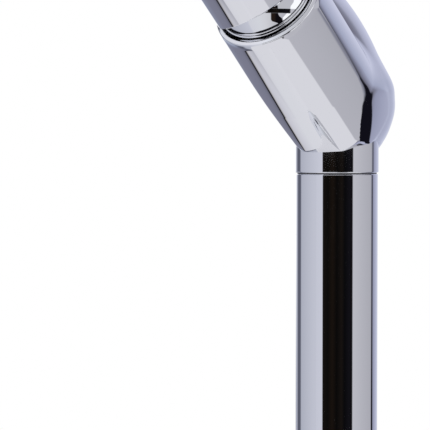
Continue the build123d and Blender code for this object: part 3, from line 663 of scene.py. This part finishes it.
def coverOutline():
    lowBead = (cover["lowBead"], cover["lowBeadRadius"])
    highBead = (cover["highBead"], cover["highBeadRadius"])
    dome = (cover["domeCentre"], cover["domeRadius"])
    inner = (cover["domeCentre"], cover["domeRadius"] - cover["wall"])
    hole, middle = cover["holeRadius"], cover["domeCentre"][1]
    lowEnd, highStart = meeting(*lowBead, *highBead)
    highEnd, domeStart = meeting(*highBead, *dome)
    domeEnd, innerStart = math.acos(hole / dome[1]), math.acos(hole / inner[1])
    innerEnd = math.asin(-middle / inner[1])
    domeTop = dome[1] * math.sin(domeEnd) + middle
    innerTop = inner[1] * math.sin(innerStart) + middle
    runs = roundedProfile(cover["foot"])
    runs += arcRuns(*lowBead, math.radians(cover["lowBeadStart"]), lowEnd)
    runs += arcRuns(*highBead, highStart, highEnd)
    runs += arcRuns(*dome, domeStart, domeEnd, steps=28)
    runs += roundedProfile([(hole, domeTop), (hole, innerTop)])
    runs += arcRuns(*inner, innerStart, innerEnd, side=-1)
    runs += roundedProfile([(inner[1] * math.cos(innerEnd), 0.0), *cover["inside"]])
    return runs


coverGeometry = turnedGeometry(coverOutline(), rimCentre, slantX, slantY, barrelAxis, cover["around"])
# the cover's chrome carries painted shade lines between its rings
coverPiece = meshPiece("cover_skin", *coverGeometry, chromeWithPaintedShade, "polished_chrome", "root")
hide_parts("dome_cover")
print("cover placed")

# camera: angles in degrees, places in metres, lens in pixels of the picture
view = {
    "azimuth": 119.6,
    "distance": 0.903,
    "height": 0.1823,
    "yaw": 3.316,
    "pitch": 2.224,
    "lens": 2105,
    "picture": 430,
    "sensor": 36,
}
azimuth, yaw, pitch = [math.radians(view[name]) for name in ("azimuth", "yaw", "pitch")]
back = Vector((math.sin(azimuth), -math.cos(azimuth), 0))
right = Vector((math.cos(azimuth), math.sin(azimuth), 0))
upward = Vector((0, 0, 1))
cameraData = bpy.data.cameras.new("camera")
camera = bpy.data.objects.new("camera", cameraData)
bpy.context.scene.collection.objects.link(camera)
bpy.context.scene.camera = camera
forward = -back * math.cos(yaw) - right * math.sin(yaw)
forward = forward * math.cos(pitch) - upward * math.sin(pitch)
camera.location = back * view["distance"] + upward * view["height"]
camera.rotation_euler = forward.to_track_quat("-Z", "Y").to_euler()
cameraData.lens = view["lens"] / view["picture"] * view["sensor"]
cameraData.sensor_width = view["sensor"]
cameraData.clip_start, cameraData.clip_end = 0.05, 60
print("camera placed")

# studio: fields of light by direction, in degrees round to the right of the camera and up from level
world = bpy.data.worlds.new("studio")
bpy.context.scene.world = world
world.use_nodes = True
sky = world.node_tree
sky.nodes.clear()
direction = addNode(sky, "ShaderNodeTexCoord").outputs["Generated"]
degree = math.pi / 180


def skyMath(operation, *values, clamp=False):
    return addMath(sky, operation, *values, clamp=clamp)


def dotWith(vector):
    return addNode(sky, "ShaderNodeVectorMath", {0: direction, 1: tuple(vector)},
                   operation="DOT_PRODUCT").outputs[1]


def placeOf(angle, size, clamp=False):
    # where an angle lies on a ramp that spans size degrees, and that size
    return skyMath("MULTIPLY_ADD", angle, 1 / (size * degree), 0.5, clamp=clamp), size


turned = skyMath("ARCTAN2", dotWith(right), dotWith(back))
rise = skyMath("ARCSINE", dotWith(upward))
turnedPlace = placeOf(turned, 360)
risePlace = placeOf(rise, 180)


def linear(value):
    value /= 255
    return value / 12.92 if value <= 0.04045 else ((value + 0.055) / 1.055) ** 2.4


def lightOf(colour):
    # the light that the chrome shows as this colour
    return [linear(c) / chrome["colour"][0] for c in colour]


def rampOf(place, stops):
    share, size = place
    ramp = addNode(sky, "ShaderNodeValToRGB", {0: share})
    elements = ramp.color_ramp.elements
    while len(elements) > 1:
        elements.remove(elements[-1])
    elements[0].position = (stops[0][0] + size / 2) / size
    for i, (position, colour) in enumerate(stops):
        element = elements[0] if i == 0 else elements.new((position + size / 2) / size)
        element.color = (*colour, 1)
    return ramp.outputs[0]


def lightRamp(place, stops):
    return rampOf(place, [(position, lightOf(colour)) for position, colour in stops])


def angleRamp(place, stops):
    largest = 200  # degrees that the ramp's full colour stands for
    ramp = rampOf(place, [(position, [value / largest] * 3) for position, value in stops])
    return skyMath("MULTIPLY", ramp, largest * degree)


def stepBetween(value, low, high):
    limits = {0: value, 1: low * degree, 2: high * degree, 3: 0.0, 4: 1.0}
    return addNode(sky, "ShaderNodeMapRange", limits, interpolation_type="SMOOTHSTEP").outputs[0]


def times(*factors):
    result = factors[0]
    for factor in factors[1:]:
        result = skyMath("MULTIPLY", result, factor)
    return result


def boxShare(rises, turns):
    # each limit is (outside, inside)
    limits = [(rise, limit) for limit in rises] + [(turned, limit) for limit in turns]
    return times(*[stepBetween(value, *limit) for value, limit in limits])


def edgedShare(field):
    # left and right edges are angles round by height; top and foot are (outside, inside)
    fromLeft = skyMath("SUBTRACT", turned, angleRamp(risePlace, field["left"]))
    fromRight = skyMath("SUBTRACT", angleRamp(risePlace, field["right"]), turned)
    return times(stepBetween(fromLeft, -1, 1), stepBetween(fromRight, -1, 1),
                 stepBetween(rise, *field["top"]), stepBetween(rise, *field["foot"]))


def mixed(share, first, second):
    node = addNode(sky, "ShaderNodeMix", {0: share}, data_type="RGBA")
    for key, value in ((6, first), (7, second)):
        if isinstance(value, bpy.types.NodeSocket):
            sky.links.new(value, node.inputs[key])
        else:
            node.inputs[key].default_value = (*value, 1)
    return node.outputs[2]


# level ring of light, which is what the column shows, with its dark band in front
studio = lightRamp(turnedPlace, [
    (-180, (246, 247, 250)), (-163, (244, 245, 249)), (-156, (186, 189, 202)), (-146, (150, 152, 166)),
    (-140, (88, 90, 104)), (-124, (90, 92, 106)), (-119, (170, 173, 186)), (-60, (192, 194, 206)),
    (-41, (198, 200, 212)), (-39.5, (20, 17, 15)), (-25, (12, 11, 10)), (-12, (24, 18, 14)), (0, (10, 9, 9)),
    (14, (22, 18, 16)), (22, (9, 9, 11)), (36, (18, 17, 22)), (44.6, (12, 10, 13)), (46.1, (186, 186, 193)),
    (80, (176, 176, 184)), (111, (168, 168, 176)), (114, (128, 129, 143)), (121, (114, 114, 130)),
    (125, (144, 147, 170)), (130, (156, 159, 182)), (136, (166, 169, 191)), (145, (175, 179, 201)),
    (157, (192, 195, 215)), (166, (202, 204, 216)), (178, (244, 245, 249)),
])

# upper right: a pale blue wall whose edge leans as it rises
wall = {
    "lean": [(3, 0), (12, 2), (20, 6)],
    "low": [(40, (182, 182, 190)), (110, (181, 181, 189)), (117.6, (178, 178, 187)), (118.2, (60, 62, 78)),
            (119.6, (104, 106, 124)), (124, (142, 144, 165)), (130, (160, 165, 188)), (140, (174, 178, 200)),
            (155, (188, 191, 212)), (166, (193, 196, 216)), (179, (196, 198, 218))],
    "high": [(60, (182, 182, 190)), (98, (108, 107, 124)), (110, (120, 120, 137)), (118, (132, 134, 152)),
             (127, (164, 166, 187)), (136, (174, 177, 199)), (150, (186, 189, 211)), (165, (194, 197, 218))],
    "change": (10, 24),
    "rises": [(0.5, 2.5)],
    "turns": [(40, 46)],
}
leaned = skyMath("ADD", turned, angleRamp(risePlace, wall["lean"]))
lowWall = lightRamp(placeOf(leaned, 360, clamp=True), wall["low"])
wallLight = mixed(stepBetween(rise, *wall["change"]), lowWall, lightRamp(turnedPlace, wall["high"]))
studio = mixed(boxShare(wall["rises"], wall["turns"]), studio, wallLight)

# low on the right: a dark doorway
doorway = {
    "left": [(-50, 92), (-40, 95), (-30, 99), (-20, 106), (-9, 114), (-5, 115.5), (3, 117.5)],
    "right": [(-50, 136), (-30, 131), (-20, 126), (-5, 121), (0, 119.8), (3, 119.3)],
    "top": (3.5, -2),
    "foot": (-45, -40),
    "colour": (16, 15, 24),
}
studio = mixed(edgedShare(doorway), studio, lightOf(doorway["colour"]))

# in front, below and above the band that the column shows, the room is pale
lowFront = {
    "stops": [(-60, (204, 205, 213)), (-30, (208, 210, 216)), (-14, (205, 206, 211)), (16, (184, 184, 190)),
              (30, (176, 176, 184)), (76, (180, 180, 187))],
    "rises": [(-9.2, -10.5), (-54, -50)],
    "turns": [(-62, -56), (77, 74)],
}
highFront = {
    "stops": [(-120, (208, 211, 219)), (-60, (218, 218, 226)), (-35, (222, 224, 232)),
              (-22, (205, 208, 215)), (16, (184, 184, 190)), (78, (184, 184, 192))],
    "rises": [(-0.4, 0.3)],
    "turns": [(-125, -115), (80, 77)],
}
lowShare = boxShare(lowFront["rises"], lowFront["turns"])
highShare = boxShare(highFront["rises"], highFront["turns"])
studio = mixed(lowShare, studio, lightRamp(turnedPlace, lowFront["stops"]))
studio = mixed(highShare, studio, lightRamp(turnedPlace, highFront["stops"]))
offBand = skyMath("MAXIMUM", lowShare, highShare)

# a dark corner in that pale room, and a white pane to its right
corner = {
    "left": [(-34, 22), (-31, 11), (-29, 3), (-25, -9), (-21, -18), (-14, -19.5), (-9, -16.5), (0, -9.5),
             (7, 0)],
    "right": [(-34, 34), (-30, 31), (-21, 26.5), (-17, 20), (-12, 17), (7, 15.5)],
    "top": (8, 6),
    "foot": (-38, -36),
    "stops": [(-20, (44, 32, 26)), (8, (34, 26, 22)), (13, (14, 12, 16))],
}
pane = {
    "left": [(-34, 34), (-20, 28.5), (-12, 35), (-3, 44), (6, 46), (14, 54), (24, 58)],
    "right": [(-38, 44), (-20, 53), (-12, 60), (-3, 74), (24, 76)],
    "top": (30, 24),
    "foot": (-36, -33),
    "colour": (250, 251, 254),
}
studio = mixed(times(offBand, edgedShare(corner)), studio, lightRamp(turnedPlace, corner["stops"]))
studio = mixed(times(offBand, edgedShare(pane)), studio, lightOf(pane["colour"]))

# behind on the left the white sweep falls off towards the table, along a slanting line
sweep = {
    "slant": 141,
    "stops": [(-90, (214, 214, 220)), (-60, (211, 212, 218)), (-53, (204, 204, 212)), (-48, (195, 195, 204)),
              (-46, (186, 184, 188)), (-45.3, (12, 9, 10)), (-44, (12, 9, 12)), (-43.3, (108, 109, 124)),
              (-40, (119, 120, 137)), (-34, (121, 122, 139)), (-29, (132, 137, 157)), (-26, (155, 162, 182)),
              (-22, (168, 176, 194)), (-15, (206, 212, 223)), (-8, (238, 240, 245)), (60, (244, 245, 249))],
    "near": ([(-9.5, -13)], [(-126, -140)]),
    "far": ([(-2, -8)], [(-154, -160)]),
}
slanting = skyMath("ADD", rise, skyMath("ADD", turned, sweep["slant"] * degree))
sweepLight = lightRamp(placeOf(slanting, 180, clamp=True), sweep["stops"])
sweepShare = skyMath("MAXIMUM", boxShare(*sweep["near"]), boxShare(*sweep["far"]))
studio = mixed(sweepShare, studio, sweepLight)

# the white table below, whose edge is an angle down by direction, and the ceiling above
table = {
    "edge": [(60, 60), (75, 59.2), (84, 54.8), (100, 54)],
    "sweep": (-126, -140),
    "colour": (212, 212, 218),
}
ceiling = {"foot": (58, 66), "colour": (236, 237, 242)}
tableShare = stepBetween(skyMath("ADD", rise, angleRamp(turnedPlace, table["edge"])), 1, -1)
tableLight = mixed(stepBetween(turned, *table["sweep"]), lightOf(table["colour"]), sweepLight)
studio = mixed(tableShare, studio, tableLight)
studio = mixed(stepBetween(rise, *ceiling["foot"]), studio, lightOf(ceiling["colour"]))

# the chrome mirrors the studio, the camera sees white and all else is lit by plain white
rays = addNode(sky, "ShaderNodeLightPath")
plain = addNode(sky, "ShaderNodeBackground", {"Color": (1, 1, 1, 1), "Strength": 0.8}).outputs[0]
seen = addNode(sky, "ShaderNodeBackground", {"Color": (1, 1, 1, 1), "Strength": 1.0}).outputs[0]
mirrored = addNode(sky, "ShaderNodeBackground", {"Color": studio, "Strength": 1.0}).outputs[0]
lit = addNode(sky, "ShaderNodeMixShader", {0: rays.outputs["Is Glossy Ray"], 1: plain, 2: mirrored})
shown = addNode(sky, "ShaderNodeMixShader", {0: rays.outputs["Is Camera Ray"], 1: lit.outputs[0], 2: seen})
addNode(sky, "ShaderNodeOutputWorld", {"Surface": shown.outputs[0]})

# soft key lamp, for shape on the matt pieces and a shadow on the floor
keyLamp = {"size": 1.2, "energy": 9, "place": (1.0, -0.9, 1.7), "target": (0, 0, 0.1)}
lampData = bpy.data.lights.new("soft_key", "AREA")
lampData.shape = "DISK"
lampData.size = keyLamp["size"]
lampData.energy = keyLamp["energy"]
lamp = bpy.data.objects.new("soft_key", lampData)
bpy.context.scene.collection.objects.link(lamp)
lamp.location = keyLamp["place"]
lamp.rotation_euler = (Vector(keyLamp["target"]) - lamp.location).to_track_quat("-Z", "Y").to_euler()
lamp.visible_glossy = False

# round floor that turns to the white of the background as it goes out
ground = {"rings": 24, "spokes": 96, "inner": 0.1, "outer": 6, "fade": (0.3, 0.85), "white": 0.9}


def floorGeometry():
    rings, spokes = ground["rings"], ground["spokes"]
    angles = np.linspace(0, 2 * math.pi, spokes, endpoint=False)
    points = [(0, 0, cadBox[0].z)]
    for r in np.linspace(ground["inner"], ground["outer"], rings):
        points += [(r * math.cos(a), r * math.sin(a), cadBox[0].z) for a in angles]
    faces = [(0, 1 + i, 1 + (i + 1) % spokes) for i in range(spokes)]
    for first in range(1, 1 + (rings - 1) * spokes, spokes):
        for i in range(spokes):
            a, b = first + i, first + (i + 1) % spokes
            faces.append((a, a + spokes, b + spokes, b))
    return points, faces


floorPoints, floorFaces = floorGeometry()
floorMesh = bpy.data.meshes.new("floor")
floorMesh.from_pydata(floorPoints, [], floorFaces)
floor = bpy.data.objects.new("floor", floorMesh)
bpy.context.scene.collection.objects.link(floor)


def floorMaterial():
    material, tree, shader = newMaterial("floor_white")
    shader.inputs["Base Color"].default_value = (*[ground["white"]] * 3, 1)
    shader.inputs["Roughness"].default_value = 0.9
    place = addNode(tree, "ShaderNodeTexCoord").outputs["Object"]
    flat = addNode(tree, "ShaderNodeVectorMath", {0: place, 1: (1, 1, 0)}, operation="MULTIPLY").outputs[0]
    away = addNode(tree, "ShaderNodeVectorMath", {0: flat}, operation="LENGTH").outputs[1]
    near, far = ground["fade"]
    fade = addNode(tree, "ShaderNodeMapRange", {0: away, 1: near, 2: far, 3: 0.0, 4: 1.0},
                   interpolation_type="SMOOTHSTEP").outputs[0]
    white = addNode(tree, "ShaderNodeEmission", {"Color": (1, 1, 1, 1), "Strength": 1.0}).outputs[0]
    clear = addNode(tree, "ShaderNodeBsdfTransparent").outputs[0]
    rays = addNode(tree, "ShaderNodeLightPath")
    whiteShare = addMath(tree, "MULTIPLY", fade, rays.outputs["Is Camera Ray"])
    fading = addNode(tree, "ShaderNodeMixShader", {0: whiteShare, 1: shader.outputs[0], 2: white}).outputs[0]
    # the chrome looks through the floor
    surface = addNode(tree, "ShaderNodeMixShader", {0: rays.outputs["Is Glossy Ray"], 1: fading, 2: clear})
    tree.links.new(surface.outputs[0], tree.nodes["Material Output"].inputs["Surface"])
    return material


floorMesh.materials.append(floorMaterial())
bpy.context.scene.view_settings.view_transform = "Standard"
print("studio ready")
